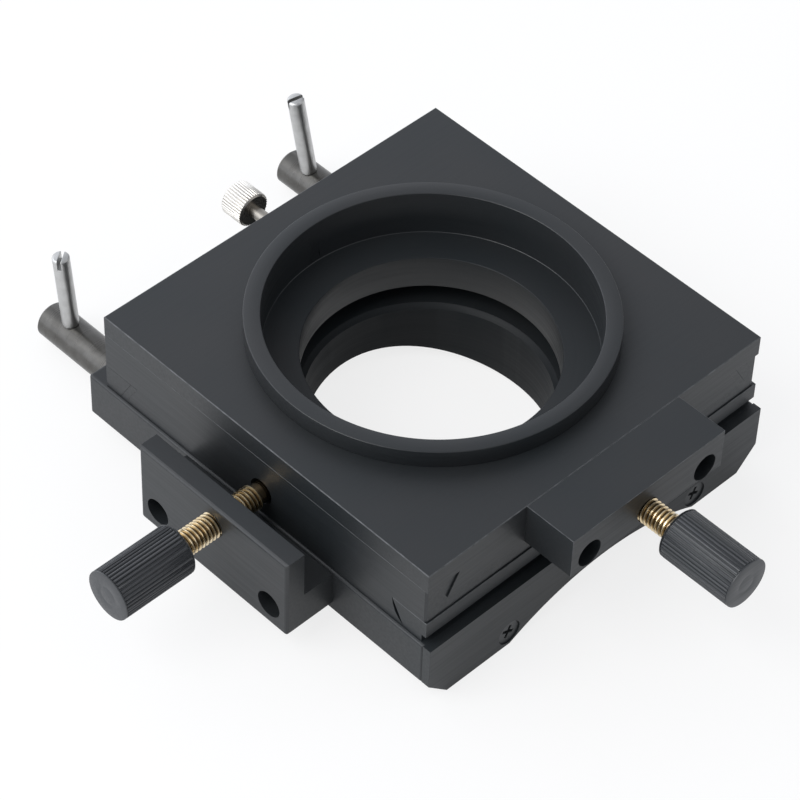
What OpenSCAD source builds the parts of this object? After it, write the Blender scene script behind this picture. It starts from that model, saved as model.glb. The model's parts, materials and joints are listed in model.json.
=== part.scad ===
// Two-axis mechanical microscope stage: a centring collar on two crossed dovetail slides,
// each driven by a captive brass screw with a knurled knob.
// Millimetres. +X and +Y are the two travel directions, +Z is up.
// The origin is on the collar's axis, in the upper face of the top plate.

/* [Top plate] */
// Side of the square top plate
plate_side = 100; // [96:1:108]
// Thickness of the flange that lies on the cross slide
plate_t = 5.3; // [4.8:0.1:6.5]
// Whole height of the top plate, flange and dovetail together
stage_h = 10.9; // [10.4:0.1:12]
// Width of the slide's land beside the top plate's dovetail, at the groove's foot
y_land_w = 5.8; // [5:0.1:6.4]

/* [Collar] */
// Distance from the collar's bore to each edge of the top plate
collar_margin = 13; // [12.5:0.1:15]
// Width of the collar's rim
collar_rim_w = 3.8; // [2.5:0.1:5]
// Height of the rim above the top plate
collar_rim_h = 4.5; // [3:0.1:8]
// Depth of the seat below the top plate's face
collar_seat_depth = 7.2; // [5:0.1:7.4]
// Wall of the collar below its rim
collar_wall = 1.4; // [1:0.1:1.6]
// Thickness of the seat's floor
collar_floor_t = 2; // [1.5:0.1:2.2]
// Width of the collar's seat
collar_seat_w = 8.4; // [7.8:0.1:11]
// Wall of the sleeve
sleeve_wall = 2; // [1:0.1:2.4]
// Depth of the sleeve's lower edge below the top plate's face
sleeve_depth = 16; // [12:0.1:18]

/* [Cross slide] */
// Height of the slide's body, without its dovetail
slide_body_h = 9.65; // [9.2:0.05:10.4]
// Room between the collar's sleeve and the slide's through bore
slide_bore_gap = 3.9; // [3.6:0.1:4.6]
// Distance that the slide stands off the top plate's centre towards the posts
slide_offset = 0.4; // [0:0.05:1]
// Bevel on the slide's four upright edges
slide_bevel = 0.5; // [0.2:0.1:1.5]

/* [Lower dovetail] */
// Height of the rails and of the dovetail between them
rail_h = 6.35; // [5.8:0.05:7.2]
// Width of the front rail, at its foot
rail_w = 6.55; // [6:0.05:7.2]
// Angle of every dovetail flank from the horizontal
dovetail_angle = 60; // [56:1:66]
// Distance that the two rails stand out beyond the top plate on the right
rail_overhang = 0.6; // [0:0.1:0.8]
// Depth of the groove along the foot of the front rail
rail_relief = 1.3; // [0.4:0.1:1.6]
// Height of the groove along the foot of the front rail
rail_relief_h = 2; // [1:0.1:2.4]
// Thickness of both gib strips
gib_t = 2; // [1.6:0.1:2.3]

/* [Base] */
// Distance that the base stands out beyond the top plate on the left and right
base_overhang = 0.8; // [0.6:0.1:5]
// Height of the base block
base_h = 17; // [16.4:0.1:22]
// Distance that the base stands out behind the top plate
base_tail = 5.2; // [4:0.1:10]
// Distance that the base's bore is smaller than the sleeve's, all round
base_bore_step = 0.8; // [0:0.1:3]
// Bevel on the base's lower edges, left and right
base_bevel = 5.6; // [3:0.1:6]
// Width of the arch under the base, as a share of the top plate's side
arch_share = 0.57; // [0.48:0.01:0.57]
// Height of the arch in the front cover
arch_h = 7; // [5.6:0.1:7.4]
// Height of the arch under the base
base_arch_h = 5.4; // [4:0.1:5.6]
// Thickness of the front cover plate
cover_t = 2.2; // [1.8:0.1:3]

/* [Drives] */
// Travel each way from the centre, on both slides
travel = 3; // [1:0.1:3]
// Outside diameter of the brass drive screws
screw_d = 6; // [5.4:0.1:6.2]
// Diameter of the turned neck held by each keeper
neck_d = 4; // [3:0.1:4.4]
// Diameter of the drive knobs
knob_d = 12; // [10:0.1:16]
// Length of the drive knobs
knob_l = 19.1; // [14:0.1:24]
// Length of bare screw between the bracket and its knob
bracket_screw_show = 9.6; // [4.5:0.1:14]
// Length of bare screw between the front block and its knob
block_screw_show = 8.4; // [4.5:0.1:14]

/* [Bracket] */
// Length of the side bracket along Y
bracket_l = 46; // [44:0.5:56]
// Depth of the side bracket, from the base outwards
bracket_depth = 13.1; // [12:0.1:16]
// Thickness of the bracket's upright wall
bracket_wall = 5; // [3:0.1:6]
// Height of the side bracket
bracket_h = 22.2; // [21.4:0.1:26]

/* [Front block] */
// Length of the front block along X
block_l = 45.8; // [44:0.2:60]
// Depth of the front block
block_depth = 13.3; // [10:0.1:18]

/* [Posts and pins] */
// Diameter of the two rear posts
post_d = 8.8; // [7:0.1:9.6]
// Length of the left post behind the base
post_left_l = 28.6; // [24:0.1:40]
// Length of the right post behind the base
post_right_l = 29.6; // [24:0.1:40]
// Diameter of the slotted steel pins
pin_d = 4; // [3:0.1:5]
// Length of the left pin outside its post
pin_left_show = 21.9; // [12:0.1:30]
// Length of the right pin outside its post
pin_right_show = 25.2; // [12:0.1:30]

/* [Thumbscrew] */
// Diameter of the thumbscrew's head
thumb_head_d = 8.6; // [7:0.1:10]
// Length of the thumbscrew's head
thumb_head_l = 6.5; // [4:0.1:9]
// Diameter of the thumbscrew's shank
thumb_d = 3; // [2.4:0.1:3.4]
// Distance that the thumbscrew can be screwed in
thumb_travel = 5; // [1:0.1:5]

/* [Hidden] */
$fn = 96;

// Clearance of sliding and turning fits, on each side
run = 0.05;
// Clearance round fixed screws and pressed pieces, on each side
seat = 0.04;
// Clearance between moving pieces that never touch
clear = 0.4;
// Room round the lower screw in the slide, on each side
screw_room = 0.2;
// Overrun of every cut
over = 1;

// Height of the lower screw above the middle of the slide's body
x_axis_lift = 1;
// Height of the upper screw's lower side above the foot of the top plate's dovetail
y_axis_lift = 0.35;

// Levels, from the upper face of the top plate downwards
slide_top = -plate_t - run;
groove_floor = -stage_h - run;
slide_floor = -plate_t - slide_body_h;
rail_top = slide_floor - run;
base_top = slide_floor - rail_h;
base_floor = base_top - base_h;
x_axis_z = (groove_floor + base_top) / 2 + x_axis_lift;
y_axis_z = -stage_h + screw_d / 2 + y_axis_lift;
thumb_z = -stage_h / 2;

// Sizes that several pieces share
plate_half = plate_side / 2;
y_dovetail_half = plate_half - y_land_w;
collar_bore_d = plate_side - 2 * collar_margin;
collar_rim_d = collar_bore_d + 2 * collar_rim_w;
sleeve_bore_d = collar_bore_d - 2 * collar_seat_w;
slide_bore_d = sleeve_bore_d + 2 * (sleeve_wall + slide_bore_gap);
base_bore_d = sleeve_bore_d - 2 * base_bore_step;
x_dovetail_half = plate_half - rail_w - run;
rail_right = plate_half + rail_overhang;
base_w = plate_side + 2 * base_overhang;
base_rear_y = plate_half + base_tail;
arch_w = arch_share * plate_side;
x_flare = rail_h / tan(dovetail_angle);
slide_front = -plate_half + slide_offset;
slide_rear = plate_half + slide_offset;
base_half = base_w / 2;

// Socket-head screws
cap_d = 3;
cap_head_d = 5.5;
cap_head_h = 3;
cap_socket_d = 2.9;
cap_socket_depth = 1.6;
cap_bore_d = 6.6;
rail_bore_d = 5.9;
cap_bore_depth = 7.6;

// Set screws
set_d = 3;
set_socket_d = 1.7;
set_socket_depth = 1.3;
set_sink = 0.3;

// Cover screws
cover_screw_d = 3;
cover_head_d = 5.8;
cover_head_h = 1.6;
cover_screw_l = 9;
cover_cross_w = 0.8;
cover_cross_l = 3.4;
cover_cross_depth = 0.9;
cover_cross_turn = 25;
cover_screw_out = 0.4;
cover_screw_x = arch_w / 2 + cover_screw_out;
cover_screw_up = 3.8;
cover_screw_z = base_floor + cover_screw_up;
cover_sink = 0.4;
cover_sink_d = 6.2;
cover_face = -plate_half - cover_t;
cover_screw_end = cover_face + cover_sink + cover_screw_l;

// Places along the base
arch_x = 2;
base_bore_relief = 1.1;
rail_screw_share = 0.35;
rail_screw_x = rail_screw_share * plate_half;
rail_screw_grip = 4.4;
rail_screw_head_up = 7.5;
gib_screw_share = 0.6;
gib_screw_spread = gib_screw_share * plate_half;
x_gib_screw_up = rail_h / 2;
y_gib_screw_up = (stage_h - plate_t) / 2;

// Bracket
bracket_hole_share = 0.76;
bracket_hole_spread = bracket_hole_share * bracket_l;
bracket_above_axis = 6;
bracket_bolt_share = 0.43;
bracket_bolt_grip = 7;
bracket_foot_gap = 0.4;

// Front block
block_x = 1;
block_hole_share = 0.764;
block_hole_spread = block_hole_share * block_l;
block_hole_up = 3.35;
block_bolt_grip = 7;

// Keepers
keeper_t = 2.5;
keeper_w = 10;
keeper_set_back = 4.4;
keeper_lip = 3.4;
keeper_top_gap = 0.3;
keeper_web = 1.5;
disc_t = 1.2;

// Posts
post_x = [-38.3, 36.6];
post_l = [post_left_l, post_right_l];
pin_show = [pin_left_show, pin_right_show];
post_up = 5;
post_stud_d = 5;
post_stud_l = 9;
post_bevel = 0.5;
pin_from_end = 7.6;
pin_lean = [4.5, 10];
pin_turn = [35, -20];
pin_slot_w = 0.9;
pin_slot_depth = 2.6;
pin_bevel = 0.35;
pin_stud_d = 3.6;
pin_seat_gap = 0.1;

// Knobs
knob_bevel = 0.3;
knob_socket = 8;
thumb_head_gap = 1.9;
thumb_show = thumb_travel + thumb_head_gap;
thumb_bevel = 0.4;
tip_l = 2;
tip_rest = 0.1;

// Basic solids, given by their two ends

module block_between(low, high) {
    translate(low)
        cube(high - low);
}

module rod_x(d, x0, x1, y, z) {
    translate([x0, y, z])
        rotate([0, 90, 0])
            cylinder(d = d, h = x1 - x0);
}

module rod_y(d, y0, y1, x, z) {
    translate([x, y0, z])
        rotate([-90, 0, 0])
            cylinder(d = d, h = y1 - y0);
}

module rod_z(d, z0, z1, x, y) {
    translate([x, y, z0])
        cylinder(d = d, h = z1 - z0);
}

// An outline in Y and Z, drawn out along X
module bar_x(x0, x1, outline) {
    translate([x0, 0, 0])
        rotate([90, 0, 90])
            linear_extrude(x1 - x0)
                polygon(outline);
}

// An outline in X and Z, drawn out along Y
module bar_y(y0, y1, outline) {
    translate([0, y1, 0])
        rotate([90, 0, 0])
            linear_extrude(y1 - y0)
                polygon(outline);
}

// A round bar along its own Z with both ends bevelled
module bevelled_rod(d, l, bevel) {
    cylinder(d1 = d - 2 * bevel, d2 = d, h = bevel);
    translate([0, 0, bevel])
        cylinder(d = d, h = l - 2 * bevel);
    translate([0, 0, l - bevel])
        cylinder(d1 = d, d2 = d - 2 * bevel, h = bevel);
}

// A socket-head screw with its head's outer face at the origin and its shank along +Z
module cap_screw(grip) {
    difference() {
        union() {
            cylinder(d = cap_head_d, h = cap_head_h);
            cylinder(d = cap_d, h = cap_head_h + grip);
        }
        translate([0, 0, -over])
            cylinder(d = cap_socket_d, h = cap_socket_depth + over, $fn = 6);
    }
}

// A set screw along +Z with its socket at the origin
module set_screw(l) {
    difference() {
        cylinder(d = set_d, h = l);
        translate([0, 0, -over])
            cylinder(d = set_socket_d, h = set_socket_depth + over, $fn = 6);
    }
}

// Lower dovetail: the flank's distance from the centre line at the rails' foot, per piece
tongue_foot = x_dovetail_half;
gib_foot = tongue_foot + run;
rear_foot = gib_foot + gib_t + run;
rail_screw_y = [-(plate_half + gib_foot) / 2, (plate_half + rear_foot) / 2];

// Base and what is fixed to it

module arch_cut(y0, y1, h) {
    arch_r = (pow(arch_w / 2, 2) + pow(h, 2)) / (2 * h);
    rod_y(2 * arch_r, y0, y1, arch_x, base_floor + h - arch_r, $fn = 360);
}

base_outline = [
    [-base_half, base_top], [-base_half, base_floor + base_bevel],
    [-base_half + base_bevel, base_floor], [base_half - base_bevel, base_floor],
    [base_half, base_floor + base_bevel], [base_half, base_top]];

module base() {
    color("dimgray")
    difference() {
        bar_y(-plate_half, base_rear_y, base_outline);
        arch_cut(-plate_half - over, base_rear_y + over, base_arch_h);
        rod_z(base_bore_d, base_floor - over, base_top + over, 0, 0, $fn = 180);
        translate([0, 0, base_top - base_bore_relief])
            cylinder(d1 = base_bore_d, d2 = base_bore_d + 2 * base_bore_relief, h = base_bore_relief,
                $fn = 180);
        for (side = [-1, 1]) {
            // Screws of the front cover
            rod_y(cover_screw_d + 2 * seat, -plate_half - over, cover_screw_end + seat,
                arch_x + side * cover_screw_x, cover_screw_z);
            // Bolts of the side bracket
            rod_x(cap_d + 2 * seat, -base_half - over, -base_half + bracket_bolt_grip + seat,
                side * bracket_hole_spread / 2, bracket_bolt_z);
            // Screws of the two rails
            for (y = rail_screw_y) {
                rod_z(cap_d + 2 * seat, base_floor, base_top + over, side * rail_screw_x, y);
                rod_z(rail_bore_d, base_floor - over, base_floor + rail_screw_head_up,
                    side * rail_screw_x, y);
            }
        }
        // Studs of the rear posts
        for (x = post_x)
            rod_y(post_stud_d + 2 * seat, base_rear_y - post_stud_l - seat, base_rear_y + over, x,
                base_floor + post_up);
    }
}

module front_cover() {
    color("slategray")
    difference() {
        bar_y(cover_face, -plate_half, base_outline);
        arch_cut(cover_face - over, -plate_half + over, arch_h);
        for (side = [-1, 1]) {
            x = arch_x + side * cover_screw_x;
            rod_y(cover_sink_d, cover_face - over, cover_face + cover_sink, x, cover_screw_z);
            rod_y(cover_screw_d + 2 * seat, cover_face, -plate_half + over, x, cover_screw_z);
            translate([x, cover_face + cover_sink, cover_screw_z])
                rotate([-90, 0, 0])
                    cylinder(d1 = cover_head_d + 2 * seat, d2 = cover_screw_d + 2 * seat, h = cover_head_h);
        }
    }
}

module cover_screw(side) {
    color("gray")
    translate([arch_x + side * cover_screw_x, cover_face + cover_sink, cover_screw_z])
        rotate([-90, 0, 0])
            difference() {
                union() {
                    cylinder(d1 = cover_head_d, d2 = cover_screw_d, h = cover_head_h);
                    cylinder(d = cover_screw_d, h = cover_screw_l);
                }
                for (turn = [cover_cross_turn, cover_cross_turn + 90])
                    rotate([0, 0, turn])
                        translate([-cover_cross_l / 2, -cover_cross_w / 2, -over])
                            cube([cover_cross_l, cover_cross_w, cover_cross_depth + over]);
            }
}

module cover_screw_left() {
    cover_screw(-1);
}

module cover_screw_right() {
    cover_screw(1);
}

// A rail's outline: side is -1 at the front and 1 at the rear, foot is its flank's place
function rail_outline(side, foot) = [
    [side * plate_half, base_top], [side * plate_half, rail_top],
    [side * (foot - (rail_top - base_top) / tan(dovetail_angle)), rail_top], [side * foot, base_top]];

module rail_front() {
    color("darkslategray")
    difference() {
        bar_x(-plate_half, rail_right, rail_outline(-1, gib_foot));
        block_between([-plate_half - over, -plate_half - over, base_top - over],
            [rail_right + over, -plate_half + rail_relief, base_top + rail_relief_h]);
        for (side = [-1, 1])
            rod_z(cap_d + 2 * seat, base_top - over, base_top + rail_screw_grip + seat,
                side * rail_screw_x, rail_screw_y[0]);
    }
}

module rail_rear() {
    color("darkslategray")
    difference() {
        bar_x(-plate_half, rail_right, rail_outline(1, rear_foot));
        for (side = [-1, 1])
            rod_z(cap_d + 2 * seat, base_top - over, base_top + rail_screw_grip + seat,
                side * rail_screw_x, rail_screw_y[1]);
        for (x = [-gib_screw_spread, 0, gib_screw_spread])
            rod_y(set_d + 2 * seat, rear_foot - x_flare, plate_half + over, x, base_top + x_gib_screw_up);
    }
}

module rail_screw(side, row) {
    head = base_floor + rail_screw_head_up - cap_head_h;
    color("gray")
    translate([side * rail_screw_x, rail_screw_y[row], head])
        cap_screw(base_top + rail_screw_grip - head - cap_head_h);
}

module rail_screw_front_left() {
    rail_screw(-1, 0);
}

module rail_screw_front_right() {
    rail_screw(1, 0);
}

module rail_screw_rear_left() {
    rail_screw(-1, 1);
}

module rail_screw_rear_right() {
    rail_screw(1, 1);
}

module x_gib() {
    rise = (rail_top - base_top) / tan(dovetail_angle);
    color("silver")
    bar_x(-plate_half, rail_right, [
        [gib_foot, base_top], [gib_foot + gib_t, base_top],
        [gib_foot + gib_t - rise, rail_top], [gib_foot - rise, rail_top]]);
}

// The set screws stop where the gib's sloping back is nearest
module x_gib_screw(x) {
    back = rear_foot - (x_gib_screw_up - set_d / 2) / tan(dovetail_angle);
    color("gray")
    translate([x, plate_half - set_sink, base_top + x_gib_screw_up])
        rotate([90, 0, 0])
            set_screw(plate_half - set_sink - back);
}

module x_gib_screw_left() {
    x_gib_screw(-gib_screw_spread);
}

module x_gib_screw_middle() {
    x_gib_screw(0);
}

module x_gib_screw_right() {
    x_gib_screw(gib_screw_spread);
}

bracket_out = -base_half - bracket_depth;
bracket_top = x_axis_z + bracket_above_axis;
bracket_floor = bracket_top - bracket_h;
bracket_bolt_z = base_top - bracket_bolt_share * (base_top - bracket_floor);

module bracket() {
    half = bracket_l / 2;
    inner = bracket_out + bracket_wall;
    foot_top = base_top - bracket_foot_gap;
    color("dimgray")
    difference() {
        bar_y(-half, half, [
            [bracket_out, bracket_floor], [-base_half, bracket_floor],
            [-base_half, foot_top], [inner, foot_top], [inner, bracket_top], [bracket_out, bracket_top]]);
        rod_x(screw_d + 2 * run, bracket_out - over, inner + over, 0, x_axis_z);
        for (side = [-1, 1]) {
            y = side * bracket_hole_spread / 2;
            rod_x(cap_d + 2 * seat, bracket_out - over, -base_half + over, y, bracket_bolt_z);
            rod_x(cap_bore_d, bracket_out - over, bracket_out + cap_bore_depth, y, bracket_bolt_z);
        }
    }
}

module bracket_screw(side) {
    head = bracket_out + cap_bore_depth - cap_head_h;
    color("gray")
    translate([head, side * bracket_hole_spread / 2, bracket_bolt_z])
        rotate([0, 90, 0])
            cap_screw(-base_half + bracket_bolt_grip - head - cap_head_h);
}

module bracket_screw_front() {
    bracket_screw(-1);
}

module bracket_screw_rear() {
    bracket_screw(1);
}

// Which is 0 for the left post and 1 for the right one
post_z = base_floor + post_up;
pin_y = [base_rear_y + post_l[0] - pin_from_end, base_rear_y + post_l[1] - pin_from_end];

module pin_place(which) {
    translate([post_x[which], pin_y[which], post_z])
        rotate([0, -pin_lean[which], 0])
            children();
}

module post(which) {
    end = base_rear_y + post_l[which];
    color("dimgray")
    difference() {
        union() {
            rod_y(post_stud_d, base_rear_y - post_stud_l, base_rear_y + over, post_x[which], post_z);
            rod_y(post_d, base_rear_y, end - post_bevel, post_x[which], post_z);
            translate([post_x[which], end - post_bevel, post_z])
                rotate([-90, 0, 0])
                    cylinder(d1 = post_d, d2 = post_d - 2 * post_bevel, h = post_bevel);
        }
        pin_place(which)
            translate([0, 0, -post_d])
                cylinder(d = pin_stud_d + 2 * seat, h = 2 * post_d);
    }
}

module post_left() {
    post(0);
}

module post_right() {
    post(1);
}

module pin(which) {
    shoulder = post_d / 2 + pin_seat_gap;
    top = post_d / 2 + pin_show[which];
    color("lightgray")
    pin_place(which)
        difference() {
            union() {
                translate([0, 0, pin_bevel - post_d / 2])
                    cylinder(d = pin_stud_d, h = post_d);
                translate([0, 0, shoulder])
                    cylinder(d = pin_d, h = top - pin_bevel - shoulder);
                translate([0, 0, top - pin_bevel])
                    cylinder(d1 = pin_d, d2 = pin_d - 2 * pin_bevel, h = pin_bevel);
            }
            rotate([0, 0, pin_turn[which]])
                translate([-pin_d, -pin_slot_w / 2, top - pin_slot_depth])
                    cube([2 * pin_d, pin_slot_w, pin_slot_depth + over]);
        }
}

module pin_left() {
    pin(0);
}

module pin_right() {
    pin(1);
}

// Cross slide and what rides in it

x_keeper_out = -plate_half + keeper_set_back;
x_keeper_in = x_keeper_out + keeper_t;
x_screw_end = x_keeper_in + run + disc_t;
y_keeper_out = -plate_half + travel + clear + run;
y_keeper_in = y_keeper_out + keeper_t;
y_screw_end = y_keeper_in + run + disc_t;
x_keeper_top = x_axis_z + keeper_lip;
x_keeper_foot = base_top + run + keeper_top_gap;
y_keeper_top = -plate_t - keeper_top_gap;
y_keeper_foot = slide_floor + keeper_web;

module bevelled_square(x0, x1, y0, y1, bevel) {
    polygon([
        [x0 + bevel, y0], [x1 - bevel, y0], [x1, y0 + bevel], [x1, y1 - bevel],
        [x1 - bevel, y1], [x0 + bevel, y1], [x0, y1 - bevel], [x0, y0 + bevel]]);
}

// The groove is wider than the tongue by the gib on its right side
groove_foot = y_dovetail_half + run;
groove_right_foot = groove_foot + gib_t + run;
groove_rise = (slide_top - groove_floor) / tan(dovetail_angle);

module cross_slide() {
    tongue_low = base_top + run;
    tongue_head = tongue_foot - (slide_floor - tongue_low) / tan(dovetail_angle);
    groove_head = groove_foot - groove_rise;
    groove_right_head = groove_right_foot - groove_rise;
    color("slategray")
    difference() {
        union() {
            translate([0, 0, slide_floor])
                linear_extrude(slide_top - slide_floor)
                    bevelled_square(-plate_half, plate_half, slide_front, slide_rear, slide_bevel);
            bar_x(-plate_half, plate_half, [
                [-tongue_foot, tongue_low], [tongue_foot, tongue_low],
                [tongue_head, slide_floor], [tongue_head, slide_floor + over],
                [-tongue_head, slide_floor + over], [-tongue_head, slide_floor]]);
        }
        // Groove for the top plate's dovetail, open at the top
        bar_y(slide_front - over, slide_rear + over, [
            [-groove_foot, groove_floor], [groove_right_foot, groove_floor],
            [groove_right_head, slide_top], [groove_right_head, slide_top + over],
            [-groove_head, slide_top + over], [-groove_head, slide_top]]);
        rod_z(slide_bore_d, base_top - over, slide_top + over, 0, 0, $fn = 180);
        // Screw of the lower slide, with the slot of its keeper
        rod_x(screw_d + 2 * screw_room, -plate_half - over, x_screw_end + clear, 0, x_axis_z);
        block_between([x_keeper_out - seat, -keeper_w / 2 - seat, base_top - over],
            [x_keeper_in + seat, keeper_w / 2 + seat, x_keeper_top + seat]);
        // Slot of the upper slide's keeper
        block_between([block_x - keeper_w / 2 - seat, y_keeper_out - seat, y_keeper_foot - seat],
            [block_x + keeper_w / 2 + seat, y_keeper_in + seat, groove_floor + over]);
        // Set screws of the right gib
        for (y = [-gib_screw_spread, 0, gib_screw_spread])
            rod_x(set_d + 2 * seat, groove_right_head, plate_half + over, y, groove_floor + y_gib_screw_up);
    }
}

// A keeper is a plate with a slot, open at its top, that drops over the screw's neck
module x_keeper() {
    slot = neck_d / 2 + run;
    color("silver")
    difference() {
        block_between([x_keeper_out, -keeper_w / 2, x_keeper_foot],
            [x_keeper_in, keeper_w / 2, x_keeper_top]);
        rod_x(2 * slot, x_keeper_out - over, x_keeper_in + over, 0, x_axis_z);
        block_between([x_keeper_out - over, -slot, x_axis_z],
            [x_keeper_in + over, slot, x_keeper_top + over]);
    }
}

module y_keeper() {
    slot = neck_d / 2 + run;
    color("silver")
    difference() {
        block_between([block_x - keeper_w / 2, y_keeper_out, y_keeper_foot],
            [block_x + keeper_w / 2, y_keeper_in, y_keeper_top]);
        rod_y(2 * slot, y_keeper_out - over, y_keeper_in + over, block_x, y_axis_z);
        block_between([block_x - slot, y_keeper_out - over, y_axis_z],
            [block_x + slot, y_keeper_in + over, y_keeper_top + over]);
    }
}

module y_gib() {
    color("silver")
    bar_y(slide_front, slide_rear, [
        [groove_foot, groove_floor], [groove_foot + gib_t, groove_floor],
        [groove_foot + gib_t - groove_rise, slide_top], [groove_foot - groove_rise, slide_top]]);
}

module y_gib_screw(y) {
    back = groove_right_foot - (y_gib_screw_up - set_d / 2) / tan(dovetail_angle);
    color("gray")
    translate([plate_half - set_sink, y, groove_floor + y_gib_screw_up])
        rotate([0, -90, 0])
            set_screw(plate_half - set_sink - back);
}

module y_gib_screw_front() {
    y_gib_screw(-gib_screw_spread);
}

module y_gib_screw_middle() {
    y_gib_screw(0);
}

module y_gib_screw_rear() {
    y_gib_screw(gib_screw_spread);
}

// Drive screws and knobs: the origin is the knob's inner face, the screw runs along +Z

module drive_screw(neck_at, keeper_gap) {
    color("goldenrod") {
        translate([0, 0, -knob_socket])
            cylinder(d = screw_d, h = knob_socket + neck_at);
        translate([0, 0, neck_at - over])
            cylinder(d = neck_d, h = keeper_gap + disc_t + over);
        translate([0, 0, neck_at + keeper_gap])
            cylinder(d = screw_d, h = disc_t);
    }
}

module drive_knob() {
    color("black")
    difference() {
        translate([0, 0, -knob_l])
            bevelled_rod(knob_d, knob_l, knob_bevel);
        translate([0, 0, -knob_socket - seat])
            cylinder(d = screw_d + 2 * seat, h = knob_socket + seat + over);
    }
}

x_knob_face = bracket_out - bracket_screw_show;
y_knob_face = -plate_half - block_depth - block_screw_show;

module x_drive_place() {
    translate([x_knob_face, 0, x_axis_z])
        rotate([0, 90, 0])
            children();
}

module y_drive_place() {
    translate([block_x, y_knob_face, y_axis_z])
        rotate([-90, 0, 0])
            children();
}

module x_screw() {
    x_drive_place()
        drive_screw(x_keeper_out - run - x_knob_face, keeper_t + 2 * run);
}

module x_knob() {
    x_drive_place()
        drive_knob();
}

module y_screw() {
    y_drive_place()
        drive_screw(y_keeper_out - run - y_knob_face, keeper_t + 2 * run);
}

module y_knob() {
    y_drive_place()
        drive_knob();
}

// Top plate and what is fixed to it

collar_body_r = collar_bore_d / 2 + collar_wall;
collar_floor = -collar_seat_depth - collar_floor_t;
sleeve_r = sleeve_bore_d / 2 + sleeve_wall;
block_bolt_z = -stage_h + block_hole_up;

module top_plate() {
    tongue_head = y_dovetail_half - (stage_h - plate_t) / tan(dovetail_angle);
    color("gray")
    difference() {
        union() {
            block_between([-plate_half, -plate_half, -plate_t], [plate_half, plate_half, 0]);
            bar_y(-plate_half, plate_half, [
                [-y_dovetail_half, -stage_h], [y_dovetail_half, -stage_h],
                [tongue_head, -plate_t], [tongue_head, -plate_t + over],
                [-tongue_head, -plate_t + over], [-tongue_head, -plate_t]]);
        }
        rod_z(2 * (collar_body_r + seat), collar_floor, over, 0, 0, $fn = 180);
        rod_z(2 * (sleeve_r + seat), -stage_h - over, collar_floor + over, 0, 0, $fn = 180);
        // Room for the front screw and for the keeper that holds it
        rod_y(screw_d + 2 * clear, -plate_half - over, y_screw_end + travel + clear, block_x, y_axis_z);
        block_between([block_x - keeper_w / 2 - clear, -plate_half - over, -stage_h - over],
            [block_x + keeper_w / 2 + clear, y_keeper_in + travel + clear, -plate_t]);
        block_between([block_x - screw_d / 2 - clear, -plate_half - over, -stage_h - over],
            [block_x + screw_d / 2 + clear, y_screw_end + travel + clear, y_axis_z]);
        for (side = [-1, 1])
            rod_y(cap_d + 2 * seat, -plate_half - over, -plate_half + block_bolt_grip + seat,
                block_x + side * block_hole_spread / 2, block_bolt_z);
        rod_y(thumb_d + 2 * run, collar_body_r - over, plate_half + over, 0, thumb_z);
    }
}

module collar() {
    color("dimgray")
    difference() {
        union() {
            rod_z(collar_rim_d, 0, collar_rim_h, 0, 0, $fn = 180);
            rod_z(2 * collar_body_r, collar_floor, over, 0, 0, $fn = 180);
            rod_z(2 * sleeve_r, -sleeve_depth, collar_floor + over, 0, 0, $fn = 180);
        }
        rod_z(collar_bore_d, -collar_seat_depth, collar_rim_h + over, 0, 0, $fn = 180);
        rod_z(sleeve_bore_d, -sleeve_depth - over, over, 0, 0, $fn = 180);
        rod_y(thumb_d + 2 * run, collar_bore_d / 2 - collar_wall, collar_body_r + over, 0, thumb_z);
    }
}

module front_block() {
    front = -plate_half - block_depth;
    color("dimgray")
    difference() {
        block_between([block_x - block_l / 2, front, -stage_h], [block_x + block_l / 2, -plate_half, 0]);
        rod_y(screw_d + 2 * run, front - over, -plate_half + over, block_x, y_axis_z);
        for (side = [-1, 1]) {
            x = block_x + side * block_hole_spread / 2;
            rod_y(cap_d + 2 * seat, front - over, -plate_half + over, x, block_bolt_z);
            rod_y(cap_bore_d, front - over, front + cap_bore_depth, x, block_bolt_z);
        }
    }
}

module block_screw(side) {
    head = -plate_half - block_depth + cap_bore_depth - cap_head_h;
    color("gray")
    translate([block_x + side * block_hole_spread / 2, head, block_bolt_z])
        rotate([-90, 0, 0])
            cap_screw(-plate_half + block_bolt_grip - head - cap_head_h);
}

module block_screw_left() {
    block_screw(-1);
}

module block_screw_right() {
    block_screw(1);
}

// The soft tip slides in the thumbscrew's bore, with its end just behind the collar's wall
tip_in = collar_bore_d / 2 + tip_rest;

module clamp_tip() {
    color("black")
    rod_y(thumb_d, tip_in, tip_in + tip_l, 0, thumb_z);
}

module thumbscrew() {
    head = plate_half + thumb_show;
    color("silver") {
        rod_y(thumb_d, tip_in + tip_l + run, head + over, 0, thumb_z);
        translate([0, head, thumb_z])
            rotate([-90, 0, 0])
                bevelled_rod(thumb_head_d, thumb_head_l, thumb_bevel);
    }
}

base();
front_cover();
cover_screw_left();
cover_screw_right();
rail_front();
rail_rear();
rail_screw_front_left();
rail_screw_front_right();
rail_screw_rear_left();
rail_screw_rear_right();
x_gib();
x_gib_screw_left();
x_gib_screw_middle();
x_gib_screw_right();
bracket();
bracket_screw_front();
bracket_screw_rear();
post_left();
post_right();
pin_left();
pin_right();
cross_slide();
x_keeper();
y_keeper();
y_gib();
y_gib_screw_front();
y_gib_screw_middle();
y_gib_screw_rear();
x_screw();
x_knob();
y_screw();
y_knob();
top_plate();
collar();
front_block();
block_screw_left();
block_screw_right();
clamp_tip();
thumbscrew();
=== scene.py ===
"""Looks of a two-axis mechanical microscope stage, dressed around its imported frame.

The frame's nodes give every place and size. Plates keep the frame's shape and get broken
edges, the turned collar, the knurled knobs and the threaded screws are built here, and
each visible surface has a procedural finish. All lengths are in metres.
"""

import json
import logging
import math
from dataclasses import dataclass, field
from enum import Enum
from typing import Any, Sequence

import bmesh
import bpy
from mathutils import Matrix, Vector


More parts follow.
